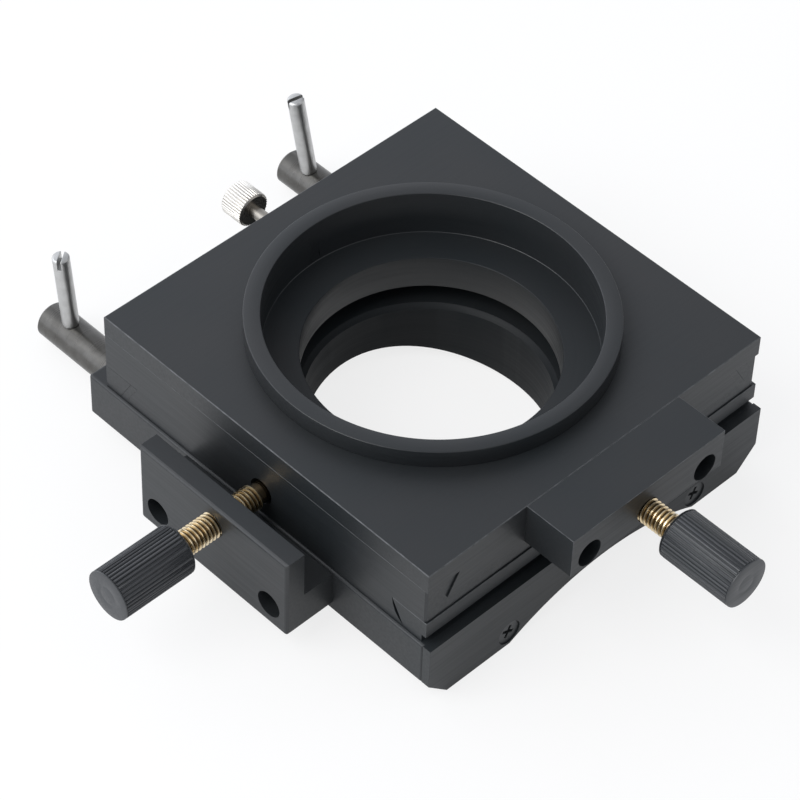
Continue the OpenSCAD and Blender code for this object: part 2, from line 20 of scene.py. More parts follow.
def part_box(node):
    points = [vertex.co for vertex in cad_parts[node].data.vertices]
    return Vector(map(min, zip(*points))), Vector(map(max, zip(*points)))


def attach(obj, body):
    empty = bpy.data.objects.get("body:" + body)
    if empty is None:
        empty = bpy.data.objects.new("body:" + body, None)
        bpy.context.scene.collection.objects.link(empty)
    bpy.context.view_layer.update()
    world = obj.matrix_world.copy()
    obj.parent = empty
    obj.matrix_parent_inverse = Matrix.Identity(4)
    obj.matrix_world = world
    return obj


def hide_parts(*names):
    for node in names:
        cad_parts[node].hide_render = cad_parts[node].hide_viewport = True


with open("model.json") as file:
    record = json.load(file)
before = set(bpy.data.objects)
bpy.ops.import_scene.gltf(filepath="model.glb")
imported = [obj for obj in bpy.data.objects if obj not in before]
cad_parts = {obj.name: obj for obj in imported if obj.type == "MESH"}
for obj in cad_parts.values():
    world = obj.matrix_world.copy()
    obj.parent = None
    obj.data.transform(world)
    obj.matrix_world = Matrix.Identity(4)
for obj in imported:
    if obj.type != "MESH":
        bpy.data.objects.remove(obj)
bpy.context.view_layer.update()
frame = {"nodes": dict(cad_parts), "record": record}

LOG = logging.getLogger("microscope_stage")
MM = 0.001
# Attribute for pale edges: partly wear, partly a painted edge highlight.
EDGE_WEAR_AND_HIGHLIGHT = "edge_wear"
ORIGIN = (0.0, 0.0, 0.0)
MIDDLE_BAND = (0.3, 0.7)
RING_DRIFT = 0.03
STREAK_STRETCH = 0.03
FAINT_GRAIN = 0.0005 * MM
FACET_ANGLE = 14.0
TURNED_ANGLE = 32.0
THREAD_ANGLE = 30.0
RIDGE_ANGLE = 40.0
BREAK_ANGLE = 35.0
COPLANAR_ANGLE = 0.6
FLAT_AREA = 25.0 * MM * MM
WELD = 0.002 * MM
FINE_WELD = 0.001 * MM
ON_AXIS = 1e-9
X_THREAD_STOP = 1.3 * MM
Y_THREAD_END = -48.0 * MM
Colour = tuple[float, float, float]
Outline = list[tuple[float, float]]


class Axis(Enum):
    """A row axis that a piece is turned about or a grain runs along."""

    X = 0
    Y = 1
    Z = 2


class Slot(Enum):
    """The record's material slots."""

    ANODISED = "black_anodised"
    BLACK_STEEL = "black_steel"
    KNOB = "black_knob"
    BLACK_SCREW = "black_screws"
    PLATED = "plated_steel"
    BARE_STEEL = "bare_steel"
    NICKEL = "nickel"
    BRASS = "brass"
    BRONZE = "bronze_strip"


class NodeBuilder:
    """Adds linked nodes to a shader or geometry tree."""

    def __init__(self, tree: bpy.types.NodeTree) -> None:
        """Takes a tree in hand.

        Args:
            tree: The node tree.
        """
        self.tree = tree

    def feed(self, socket: bpy.types.NodeSocket, value: Any) -> None:
        """Links an output to an input, or sets the input to a plain value."""
        if isinstance(value, bpy.types.NodeSocket):
            self.tree.links.new(value, socket)
        else:
            socket.default_value = value

    def node(self, kind: str, settings: dict[str, Any] | None = None,
             **inputs: Any) -> bpy.types.Node:
        """Adds a node and fills its inputs.

        Args:
            kind: The node's type name.
            settings: Properties to set on it.
            **inputs: Input names, with _ for a space, and a socket to link or a value.

        Returns:
            The new node.
        """
        made = self.tree.nodes.new(kind)
        for key, value in (settings or {}).items():
            setattr(made, key, value)
        for key, value in inputs.items():
            self.feed(made.inputs[key.replace("_", " ")], value)
        return made

    def maths(self, operation: str, first: Any, second: Any = 0.0) -> bpy.types.NodeSocket:
        """Adds a Math node.

        Args:
            operation: Its operation.
            first: A socket or a number.
            second: A socket or a number.

        Returns:
            Its result.
        """
        made = self.node("ShaderNodeMath", {"operation": operation})
        self.feed(made.inputs[0], first)
        self.feed(made.inputs[1], second)
        return made.outputs[0]

    def vector_maths(self, operation: str, first: Any, second: Any = ORIGIN,
                     result: str = "Vector") -> bpy.types.NodeSocket:
        """Adds a Vector Math node.

        Args:
            operation: Its operation.
            first: A socket or a vector.
            second: A socket or a vector.
            result: The output that is wanted.

        Returns:
            That output.
        """
        made = self.node("ShaderNodeVectorMath", {"operation": operation})
        self.feed(made.inputs[0], first)
        self.feed(made.inputs[1], second)
        return made.outputs[result]

    def vector(self, x: Any = 0.0, y: Any = 0.0, z: Any = 0.0) -> bpy.types.NodeSocket:
        """Joins three sockets or numbers into a vector."""
        return self.node("ShaderNodeCombineXYZ", X=x, Y=y, Z=z).outputs[0]


class ShaderGraph(NodeBuilder):
    """A material whose node tree ends in one Principled shader."""

    def __init__(self, name: str) -> None:
        """Makes the material with its shader and output.

        Args:
            name: The material's name.
        """
        self.material = bpy.data.materials.new(name)
        self.material.use_nodes = True
        super().__init__(self.material.node_tree)
        self.tree.nodes.clear()
        self.shader = self.node("ShaderNodeBsdfPrincipled")
        self.node("ShaderNodeOutputMaterial", Surface=self.shader.outputs["BSDF"])
        self.coordinates = self.node("ShaderNodeTexCoord").outputs["Object"]

    def surface(self, **values: Any) -> None:
        """Fills the shader's own inputs.

        Args:
            **values: Input names, with _ for a space, and a socket to link or a value.
        """
        for key, value in values.items():
            self.feed(self.shader.inputs[key.replace("_", " ")], value)

    def noise(self, scale: float, detail: float = 2.0,
              stretch: Sequence[float] = (1.0, 1.0, 1.0)) -> bpy.types.NodeSocket:
        """Adds a noise in the piece's own coordinates.

        Args:
            scale: Cells per metre.
            detail: Octaves of finer noise.
            stretch: Factors on the three coordinates, below 1 for long streaks.

        Returns:
            The noise's value output.
        """
        mapping = self.node("ShaderNodeMapping", Scale=stretch, Vector=self.coordinates)
        return self.node("ShaderNodeTexNoise", Scale=scale, Detail=detail,
                         Vector=mapping.outputs["Vector"]).outputs["Fac"]

    def spread(self, value: bpy.types.NodeSocket, low: float, high: float,
               source: tuple[float, float] = MIDDLE_BAND) -> bpy.types.NodeSocket:
        """Maps a noise onto a range.

        Args:
            value: The noise.
            low: Result at the bottom of the source range.
            high: Result at its top.
            source: The part of the noise that is used.

        Returns:
            The mapped output.
        """
        return self.node("ShaderNodeMapRange", From_Min=source[0], From_Max=source[1],
                         To_Min=low, To_Max=high, Value=value).outputs["Result"]

    def blend(self, value: bpy.types.NodeSocket, low: Colour,
              high: Colour) -> bpy.types.NodeSocket:
        """Blends two colours by a noise.

        Args:
            value: The noise.
            low: Colour at its low end.
            high: Colour at its high end.

        Returns:
            The colour output.
        """
        ramp = self.node("ShaderNodeValToRGB", Fac=value)
        for element, position, colour in zip(ramp.color_ramp.elements, MIDDLE_BAND, (low, high)):
            element.position = position
            element.color = (*colour, 1.0)
        return ramp.outputs["Color"]

    def attribute(self, name: str) -> bpy.types.NodeSocket:
        """Reads a mesh attribute, which is 0 on a piece that has none."""
        return self.node("ShaderNodeAttribute", {"attribute_name": name}).outputs["Fac"]

    def cover(self, share: bpy.types.NodeSocket, under: bpy.types.NodeSocket,
              over: Colour) -> bpy.types.NodeSocket:
        """Lays a plain colour over another, by a share.

        Args:
            share: How much of the upper colour shows.
            under: The lower colour.
            over: The upper colour.

        Returns:
            The colour output.
        """
        mix = self.node("ShaderNodeMix", {"data_type": "RGBA"})
        sockets = {socket.identifier: socket for socket in mix.inputs}
        self.feed(sockets["Factor_Float"], share)
        self.feed(sockets["A_Color"], under)
        self.feed(sockets["B_Color"], (*over, 1.0))
        return next(socket for socket in mix.outputs if socket.identifier == "Result_Color")

    def radius(self, axis: Axis, through: Sequence[float]) -> bpy.types.NodeSocket:
        """Measures the distance from a turned piece's axis.

        Args:
            axis: The row axis that the piece's axis runs along.
            through: A point on it.

        Returns:
            The distance in metres.
        """
        from_axis = self.vector_maths("SUBTRACT", self.coordinates, through)
        across = self.vector_maths("MULTIPLY", from_axis,
                                   [0.0 if i == axis.value else 1.0 for i in range(3)])
        return self.vector_maths("LENGTH", across, result="Value")

    def rings(self, scale: float, axis: Axis, through: Sequence[float]) -> bpy.types.NodeSocket:
        """Adds the fine rings that a lathe leaves round an axis.

        Args:
            scale: Rings per metre.
            axis: The row axis that the piece's axis runs along.
            through: A point on it.

        Returns:
            The noise's value output.
        """
        along = self.node("ShaderNodeSeparateXYZ", Vector=self.coordinates).outputs
        drift = self.maths("MULTIPLY", along[(axis.value + 1) % 3], RING_DRIFT)
        place_now = self.vector(self.radius(axis, through), along[axis.value], drift)
        return self.node("ShaderNodeTexNoise", Scale=scale, Detail=2.0,
                         Vector=place_now).outputs["Fac"]

    def bump(self, heights: Sequence[tuple[bpy.types.NodeSocket, float]]) -> None:
        """Chains bumps onto the shader.

        Args:
            heights: Pairs of a height output and its depth in metres.
        """
        before: dict[str, bpy.types.NodeSocket] = {}
        for height, depth in heights:
            node = self.node("ShaderNodeBump", Strength=1.0, Distance=depth, Height=height,
                             **before)
            before = {"Normal": node.outputs["Normal"]}
        self.surface(**before)


@dataclass(frozen=True)
class Anodising:
    """Black anodising on ground aluminium: satin, tool-streaked, its edges painted pale, partly
    as wear and partly as a painted edge highlight.
    """

    name: str
    slot: Slot
    cool: Colour = (0.0095, 0.0125, 0.0145)
    warm: Colour = (0.0145, 0.0155, 0.0165)
    rough: tuple[float, float] = (0.40, 0.50)
    grain: Axis = Axis.X
    grain_scale: float = 1500.0
    grain_depth: float = 0.002 * MM
    speckle_depth: float = 0.003 * MM
    speckle_scale: float = 4200.0
    cloud_scale: float = 28.0
    highlight_and_wear_scale: float = 420.0
    highlight_and_wear_range: tuple[float, float] = (0.15, 0.95)
    detail: float = 3.0
    turned_about: Sequence[float] | None = None
    # Pale edge colour: partly wear, partly a painted edge highlight.
    worn_and_highlit: Colour = (0.15, 0.155, 0.16)
    gloss_index: float = 1.5

    def material(self) -> bpy.types.Material:
        """Builds the finish: cloudy colour, pale edges (wear and painted highlight), streaked
        roughness, speckle and grain.
        """
        graph = ShaderGraph(self.name)
        cloud = graph.blend(graph.noise(self.cloud_scale, self.detail), self.cool, self.warm)
        # Pale edges, partly wear and partly a painted edge highlight, spread by a noise.
        highlight_and_wear_spread = graph.spread(graph.noise(self.highlight_and_wear_scale, self.detail), *self.highlight_and_wear_range)
        highlight_and_wear = graph.maths("MULTIPLY", graph.attribute(EDGE_WEAR_AND_HIGHLIGHT), highlight_and_wear_spread)
        if self.turned_about is None:
            stretch = [1.0, 1.0, 1.0]
            stretch[self.grain.value] = STREAK_STRETCH
            streaks = graph.noise(self.grain_scale, self.detail, stretch)
        else:
            streaks = graph.rings(self.grain_scale, self.grain, self.turned_about)
        graph.surface(Metallic=0.0, IOR=self.gloss_index,
                      Base_Color=graph.cover(highlight_and_wear, cloud, self.worn_and_highlit),
                      Roughness=graph.spread(streaks, *self.rough))
        graph.bump([(graph.noise(self.speckle_scale), self.speckle_depth),
                    (streaks, self.grain_depth)])
        return graph.material


@dataclass(frozen=True)
class TurnedMetal:
    """Metal from the lathe: fine rings round the axis, tarnish, and painted shade that darkens
    its grooves.
    """

    name: str
    slot: Slot
    light: Colour
    dark: Colour
    rough: tuple[float, float]
    axis: Axis
    through: Sequence[float] = ORIGIN
    ring_scale: float = 4500.0
    ring_depth: float = 0.002 * MM
    tarnish_scale: float = 420.0
    tarnish_detail: float = 4.0
    metallic: float = 1.0
    groove: tuple[float, float] | None = None
    # Painted shade: colour laid into the grooves, darkest at their roots.
    groove_shade: Colour = (0.05, 0.028, 0.012)
    groove_shade_most: float = 0.85

    def material(self) -> bpy.types.Material:
        """Builds the finish: tarnish in clouds, painted groove shade by the radius, rings in
        gloss and bump.
        """
        graph = ShaderGraph(self.name)
        tarnish = graph.noise(self.tarnish_scale, self.tarnish_detail)
        colour = graph.blend(tarnish, self.dark, self.light)
        # Painted shade: darker towards the groove roots, by the distance from the axis.
        if self.groove is not None:
            distance = graph.radius(self.axis, self.through)
            depth = graph.spread(distance, self.groove_shade_most, 0.0, self.groove)
            colour = graph.cover(depth, colour, self.groove_shade)
        rings = graph.rings(self.ring_scale, self.axis, self.through)
        graph.surface(Metallic=self.metallic, Base_Color=colour,
                      Roughness=graph.spread(rings, *self.rough))
        graph.bump([(rings, self.ring_depth)])
        return graph.material


def middle(node: str) -> Vector:
    """Gives the middle of a frame node's box."""
    low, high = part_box(node)
    return (low + high) / 2


class Finishes:
    """Every finish of the stage, built once."""

    def __init__(self) -> None:
        """Builds the materials."""
        turned = {"grain": Axis.Z, "turned_about": ORIGIN}
        finishes: list[Anodising | TurnedMetal] = [
            Anodising("anodised_plate", Slot.ANODISED),
            Anodising("anodised_side", Slot.ANODISED, grain=Axis.Y),
            Anodising("anodised_base", Slot.ANODISED, grain_depth=FAINT_GRAIN),
            Anodising("anodised_turned", Slot.ANODISED, grain_scale=2600.0,
                      rough=(0.36, 0.48), **turned),
            # Painted sheen: a lighter copy of the anodising for the collar's inner sleeve wall.
            Anodising("sleeve_wall", Slot.ANODISED, cool=(0.013, 0.015, 0.016),
                      warm=(0.021, 0.0215, 0.0215), rough=(0.28, 0.46),
                      grain_depth=0.004 * MM, **turned),
            # Painted shade: a copy of the anodising with weaker reflection, darker at the bottom
            # of the cup.
            Anodising("seat_matt", Slot.ANODISED, grain_scale=2600.0, gloss_index=1.33, **turned),
            # Painted shade: a rougher copy with weaker reflection, darker down the base's bore.
            Anodising("light_bore", Slot.ANODISED, rough=(0.5, 0.6), gloss_index=1.28, **turned),
            Anodising("black_rail", Slot.BLACK_STEEL, grain_depth=FAINT_GRAIN),
            Anodising("black_tip", Slot.BLACK_SCREW),
            Anodising("black_knob", Slot.KNOB, cool=(0.024, 0.027, 0.030),
                      warm=(0.032, 0.034, 0.037), rough=(0.34, 0.46)),
            Anodising("black_screw", Slot.BLACK_SCREW, cool=(0.006, 0.007, 0.008),
                      warm=(0.010, 0.011, 0.012), rough=(0.5, 0.6)),
            TurnedMetal("plated_screw", Slot.PLATED, (0.075, 0.078, 0.08), (0.05, 0.053, 0.055),
                        (0.34, 0.46), Axis.Y, metallic=0.5),
            TurnedMetal("steel_pin", Slot.BARE_STEEL, (0.54, 0.54, 0.53), (0.44, 0.44, 0.43),
                        (0.34, 0.42), Axis.Z, ring_depth=0.0004 * MM),
            # Painted shade in the knurl grooves of the thumbscrew.
            TurnedMetal("nickel_thumbscrew", Slot.NICKEL, (0.80, 0.78, 0.73), (0.70, 0.67, 0.62),
                        (0.24, 0.36), Axis.Y, middle("thumbscrew"),
                        groove=(3.95 * MM, 4.25 * MM), groove_shade=(0.25, 0.23, 0.20)),
            TurnedMetal("bronze_strip", Slot.BRONZE, (0.60, 0.42, 0.24), (0.48, 0.33, 0.18),
                        (0.30, 0.44), Axis.Y),
        ]
        for side in ("left", "right"):
            finishes.append(TurnedMetal(
                f"post_{side}_steel", Slot.BLACK_STEEL, (0.115, 0.112, 0.105),
                (0.085, 0.082, 0.076), (0.26, 0.36), Axis.Y, middle("post_" + side),
                metallic=0.85))
        # Painted shade in the thread roots of the brass screws.
        for name, axis in (("x", Axis.X), ("y", Axis.Y)):
            finishes.append(TurnedMetal(
                "brass_" + name, Slot.BRASS, (0.94, 0.81, 0.57), (0.84, 0.65, 0.38),
                (0.22, 0.34), axis, middle(name + "_screw"), groove=(2.45 * MM, 2.85 * MM)))
        self.made = {finish.name: finish.material() for finish in finishes}
        self.slots = {finish.name: finish.slot for finish in finishes}

    def dress(self, piece: bpy.types.Object, finish: str) -> None:
        """Gives a piece one finish.

        Args:
            piece: The mesh object.
            finish: The finish's name.
        """
        piece.data.materials.clear()
        piece.data.materials.append(self.made[finish])


class GeometryTree(NodeBuilder):
    """A Geometry Nodes tree with named inputs, turned into plain meshes."""

    def __init__(self, name: str) -> None:
        """Starts the tree with its geometry input and output.

        Args:
            name: The tree's name.
        """
        super().__init__(bpy.data.node_groups.new(name, "GeometryNodeTree"))
        self.inputs: dict[str, str] = {}
        for way in ("INPUT", "OUTPUT"):
            self.tree.interface.new_socket("Geometry", in_out=way,
                                           socket_type="NodeSocketGeometry")
        self.source = self.tree.nodes.new("NodeGroupInput")

    def size(self, name: str, kind: str = "NodeSocketFloat") -> bpy.types.NodeSocket:
        """Adds a named input.

        Args:
            name: The input's name.
            kind: Its socket type.

        Returns:
            The socket that carries its value inside the tree.
        """
        socket = self.tree.interface.new_socket(name, in_out="INPUT", socket_type=kind)
        self.inputs[name] = socket.identifier
        return self.source.outputs[name]

    def join(self, *parts: bpy.types.Node | bpy.types.NodeSocket) -> bpy.types.NodeSocket:
        """Joins the first outputs of nodes, or sockets, into one geometry."""
        joined = self.tree.nodes.new("GeometryNodeJoinGeometry")
        for part in reversed(parts):
            output = part if isinstance(part, bpy.types.NodeSocket) else part.outputs[0]
            self.tree.links.new(output, joined.inputs[0])
        return joined.outputs[0]

    def close(self, made: bpy.types.Node) -> None:
        """Joins what was made to the input geometry, realizes it and sets its material.

        Args:
            made: The node whose first output is the new geometry.
        """
        joined = self.join(self.source.outputs["Geometry"], made)
        real = self.node("GeometryNodeRealizeInstances", Geometry=joined)
        finish = self.size("Finish", "NodeSocketMaterial")
        dressed = self.node("GeometryNodeSetMaterial", Geometry=real.outputs[0], Material=finish)
        output = self.tree.nodes.new("NodeGroupOutput")
        self.tree.links.new(dressed.outputs[0], output.inputs[0])

    def apply(self, piece: bpy.types.Object, values: dict[str, Any]) -> None:
        """Runs the tree on a piece and keeps the plain mesh.

        Args:
            piece: The object whose mesh is the tree's input.
            values: Input names and their values.
        """
        modifier = piece.modifiers.new(self.tree.name, "NODES")
        modifier.node_group = self.tree
        for name, value in values.items():
            modifier[self.inputs[name]] = value
        bake_modifiers(piece)


class RidgeTree(GeometryTree):
    """Straight ridges, such as knurling, round a turned piece's own Z axis."""

    sides = 8
    unit_radius = 0.5

    def __init__(self) -> None:
        """Builds the tree: bars with tapered ends, set on a circle, each of its own height."""
        super().__init__("ridges")
        count = self.size("Count", "NodeSocketInt")
        radius = self.size("Radius")
        width = self.size("Width")
        low = self.size("Lowest height")
        high = self.size("Highest height")
        start = self.size("Start")
        length = self.size("Length")
        taper = self.size("Taper")
        seed = self.size("Seed", "NodeSocketInt")
        straight = self.maths("SUBTRACT", length, self.maths("MULTIPLY", taper, 2.0))
        half = self.maths("DIVIDE", straight, 2.0)
        bar = self.node("GeometryNodeMeshCylinder", {"fill_type": "NONE"}, Vertices=self.sides,
                        Radius=self.unit_radius, Depth=straight)
        tip = self.node("GeometryNodeMeshCone", {"fill_type": "NONE"}, Vertices=self.sides,
                        Radius_Top=0.0, Radius_Bottom=self.unit_radius, Depth=taper)
        upper = self.node("GeometryNodeTransform", Geometry=tip.outputs[0],
                          Translation=self.vector(z=half))
        lower = self.node("GeometryNodeTransform", Geometry=tip.outputs[0],
                          Translation=self.vector(z=self.maths("MULTIPLY", half, -1.0)),
                          Rotation=(math.pi, 0.0, 0.0))
        ridge = self.node("GeometryNodeMergeByDistance", Geometry=self.join(bar, lower, upper),
                          Distance=FINE_WELD)
        ring = self.node("GeometryNodeMeshCircle", {"fill_type": "NONE"}, Vertices=count,
                         Radius=radius)
        index = self.node("GeometryNodeInputIndex").outputs[0]
        turn = self.maths("MULTIPLY", index, self.maths("DIVIDE", 2.0 * math.pi, count))
        height = self.node("FunctionNodeRandomValue", {"data_type": "FLOAT"}, Seed=seed, ID=index)
        self.feed(height.inputs[2], low)
        self.feed(height.inputs[3], high)
        scale = self.vector(self.maths("MULTIPLY", height.outputs[1], 2.0), width, 1.0)
        ridges = self.node("GeometryNodeInstanceOnPoints", Points=ring.outputs[0],
                           Instance=ridge.outputs[0], Rotation=self.vector(z=turn), Scale=scale)
        centre = self.maths("ADD", start, self.maths("DIVIDE", length, 2.0))
        self.close(self.node("GeometryNodeTransform", Geometry=ridges.outputs[0],
                             Translation=self.vector(z=centre)))


class ThreadTree(GeometryTree):
    """A screw thread round a turned piece's own Z axis."""

    round_steps = 48
    cells_per_pitch = 10
    root_share = 0.2
    flank_share = 0.6

    def __init__(self) -> None:
        """Builds the tree: a grid whose rows follow the helix, wrapped and raised into teeth."""
        super().__init__("thread")
        crest = self.size("Crest radius")
        depth = self.size("Depth")
        pitch = self.size("Pitch")
        start = self.size("Start")
        length = self.size("Length")
        tall = self.maths("ADD", length, pitch)
        half = self.maths("DIVIDE", length, 2.0)
        rows = self.maths("MULTIPLY", self.maths("DIVIDE", tall, pitch),
                          float(self.cells_per_pitch))
        lines = self.maths("ROUND", self.maths("ADD", rows, 1.0))
        grid = self.node("GeometryNodeMeshGrid", Size_X=2.0 * math.pi, Size_Y=tall,
                         Vertices_X=self.round_steps + 1, Vertices_Y=lines)
        flat = self.node("GeometryNodeInputPosition").outputs[0]
        split = self.node("ShaderNodeSeparateXYZ", Vector=flat)
        angle, along = split.outputs[0], split.outputs[1]
        lead = self.maths("MULTIPLY", self.maths("DIVIDE", angle, 2.0 * math.pi), pitch)
        height = self.maths("ADD", self.maths("ADD", along, half), lead)
        risen = self.maths("ADD", along, self.maths("DIVIDE", tall, 2.0))
        turns = self.maths("DIVIDE", risen, pitch)
        saw = self.maths("MULTIPLY", self.maths("FRACT", turns), 2.0)
        wave = self.maths("ABSOLUTE", self.maths("SUBTRACT", saw, 1.0))
        above = self.maths("SUBTRACT", self.maths("SUBTRACT", 1.0, wave), self.root_share)
        rise = self.maths("DIVIDE", above, self.flank_share)
        tooth = self.maths("MAXIMUM", self.maths("MINIMUM", rise, 1.0), 0.0)
        radius = self.maths("ADD", self.maths("SUBTRACT", crest, depth),
                            self.maths("MULTIPLY", tooth, depth))
        wrapped = self.vector(self.maths("MULTIPLY", self.maths("COSINE", angle), radius),
                              self.maths("MULTIPLY", self.maths("SINE", angle), radius),
                              self.maths("ADD", height, start))
        thread = self.node("GeometryNodeSetPosition", Geometry=grid.outputs[0], Position=wrapped)
        here = self.node("GeometryNodeInputPosition").outputs[0]
        level = self.node("ShaderNodeSeparateXYZ", Vector=here).outputs[2]
        off = self.maths("SUBTRACT", level, self.maths("ADD", start, half))
        past = self.maths("GREATER_THAN", self.maths("ABSOLUTE", off), half)
        trimmed = self.node("GeometryNodeDeleteGeometry", Geometry=thread.outputs[0],
                            Selection=past)
        self.close(self.node("GeometryNodeMergeByDistance", Geometry=trimmed.outputs[0],
                             Distance=WELD))


def bake_modifiers(piece: bpy.types.Object) -> None:
    """Replaces a piece's mesh by its evaluated one and removes every modifier.

    Args:
        piece: The object to bake.
    """
    bpy.context.view_layer.update()
    graph = bpy.context.evaluated_depsgraph_get()
    baked = bpy.data.meshes.new_from_object(piece.evaluated_get(graph))
    baked.name = piece.name
    piece.modifiers.clear()
    piece.data = baked


def new_piece(name: str, shape: bmesh.types.BMesh) -> bpy.types.Object:
    """Turns a finished shape into a linked object and frees the shape.

    Args:
        name: The piece's name.
        shape: Its faces.

    Returns:
        The object, at the origin.
    """
    mesh = bpy.data.meshes.new(name)
    shape.to_mesh(mesh)
    shape.free()
    piece = bpy.data.objects.new(name, mesh)
    bpy.context.scene.collection.objects.link(piece)
    return piece


def add_cut(piece: bpy.types.Object, cutter: bpy.types.Object) -> None:
    """Adds the modifier that cuts one piece out of another.

    Args:
        piece: The piece that keeps the cut.
        cutter: The piece that is taken away, deleted by the caller after the bake.
    """
    cut = piece.modifiers.new("cut", "BOOLEAN")
    cut.operation = "DIFFERENCE"
    cut.solver = "EXACT"
    cut.object = cutter


def lathe(name: str, outline: Outline, steps: int, closed: bool = False) -> bpy.types.Object:
    """Turns an outline about Z into a closed mesh.

    Args:
        name: The piece's name.
        outline: Points (radius, height) from the low end to the high one.
        steps: Facets round the axis.
        closed: True where the outline is a ring that keeps off the axis.

    Returns:
        The turned piece, its normals outward.
    """
    shape = bmesh.new()
    rings: list[list[bmesh.types.BMVert]] = []
    for radius, height in outline:
        if radius < ON_AXIS:
            rings.append([shape.verts.new((0.0, 0.0, height))])
            continue
        angles = (2.0 * math.pi * i / steps for i in range(steps))
        rings.append([shape.verts.new((radius * math.cos(a), radius * math.sin(a), height))
                      for a in angles])
    pairs = list(zip(rings, rings[1:]))
    if closed:
        pairs.append((rings[-1], rings[0]))
    for low, high in pairs:
        for i in range(steps):
            j = (i + 1) % steps
            corners = [low[i % len(low)], low[j % len(low)],
                       high[j % len(high)], high[i % len(high)]]
            shape.faces.new(list(dict.fromkeys(corners)))
    bmesh.ops.recalc_face_normals(shape, faces=shape.faces)
    return new_piece(name, shape)


def softened(outline: Outline, radius: float, steps: int = 3) -> Outline:
    """Rounds the corners of a ring outline.

    Args:
        outline: The corner points.
        radius: How far from a corner its rounding starts.
        steps: Facets in each rounding.

    Returns:
        The outline with each corner replaced by a short curve.
    """
    longest_share = 0.45
    made: Outline = []
    for i, corner in enumerate(outline):
        here = Vector(corner)
        before, after = Vector(outline[i - 1]), Vector(outline[(i + 1) % len(outline)])
        reach = min(radius, longest_share * (before - here).length,
                    longest_share * (after - here).length)
        first = here + (before - here).normalized() * reach
        last = here + (after - here).normalized() * reach
        for step in range(steps + 1):
            t = step / steps
            point = first * (1 - t) ** 2 + here * (2 * t * (1 - t)) + last * t ** 2
            made.append((point.x, point.y))
    return made


def smooth(piece: bpy.types.Object, sharp: float) -> None:
    """Shades a piece smooth, with sharp edges beyond an angle.

    Args:
        piece: The mesh object.
        sharp: The angle in degrees.
    """
    piece.data.shade_smooth()
    piece.data.set_sharp_from_angle(angle=math.radians(sharp))


def place(piece: bpy.types.Object, axis: Axis, origin: Sequence[float]) -> None:
    """Moves a piece turned about Z onto its place, in its mesh.

    Args:
        piece: The mesh object.
        axis: The row axis that its Z becomes, X or Y.
        origin: Where its own origin goes.
    """
    turn = (Matrix.Rotation(math.radians(90.0), 4, "Y") if axis is Axis.X
            else Matrix.Rotation(math.radians(-90.0), 4, "X"))
    piece.data.transform(Matrix.Translation(Vector(origin)) @ turn)
    piece.data.update()


def rounded(shape: bmesh.types.BMesh, edges: list[bmesh.types.BMEdge], width: float,
            steps: int) -> None:
    """Rounds chosen edges and gives the new faces material index 1.

    Args:
        shape: The mesh in hand.
        edges: The edges to round.
        width: The rounding's width.
        steps: Facets in it.
    """
    made = bmesh.ops.bevel(shape, geom=edges, offset=width, offset_type="OFFSET", segments=steps,
                           profile=0.5, affect="EDGES", clamp_overlap=True)
    for face in made["faces"]:
        face.material_index = 1


def paint_edge_wear_and_highlight(piece: bpy.types.Object, highlight_and_wear: float) -> None:
    """Turns material index 1 into the attribute for pale edges, partly wear and partly a painted
    edge highlight.

    Args:
        piece: The mesh object, whose indices all become 0.
        highlight_and_wear: How pale the marked faces are painted, as wear and as an edge
            highlight, from 0 to 1.
    """
    mesh = piece.data
    wear = mesh.attributes.new(EDGE_WEAR_AND_HIGHLIGHT, "FLOAT", "FACE")
    for face, value in zip(mesh.polygons, wear.data):
        value.value = highlight_and_wear if face.material_index == 1 else 0.0
        face.material_index = 0


@dataclass(frozen=True)
class WornHighlitEdges:
    """The edges of a plate in given planes, rounded and painted pale, partly as wear and partly
    as a painted edge highlight.
    """

    planes: Sequence[tuple[Axis, float]]
    width: float = 0.2 * MM
    # How pale the edges are painted, as wear and as a painted edge highlight.
    highlight_and_wear: float = 0.6
    steps: int = 3
    reach: float = 0.02 * MM
    least_turn: float = math.radians(50.0)
    least_widths: float = 10.0

    def edges(self, shape: bmesh.types.BMesh) -> list[bmesh.types.BMEdge]:
        """Picks the sharp outer edges that lie in one of the planes.

        Args:
            shape: The mesh in hand.

        Returns:
            The edges.
        """
        return [edge for edge in shape.edges
                if edge.is_manifold and edge.is_convex
                and edge.calc_face_angle() > self.least_turn
                and edge.calc_length() > self.least_widths * self.width
                and any(all(abs(vert.co[axis.value] - level) < self.reach for vert in edge.verts)
                        for axis, level in self.planes)]


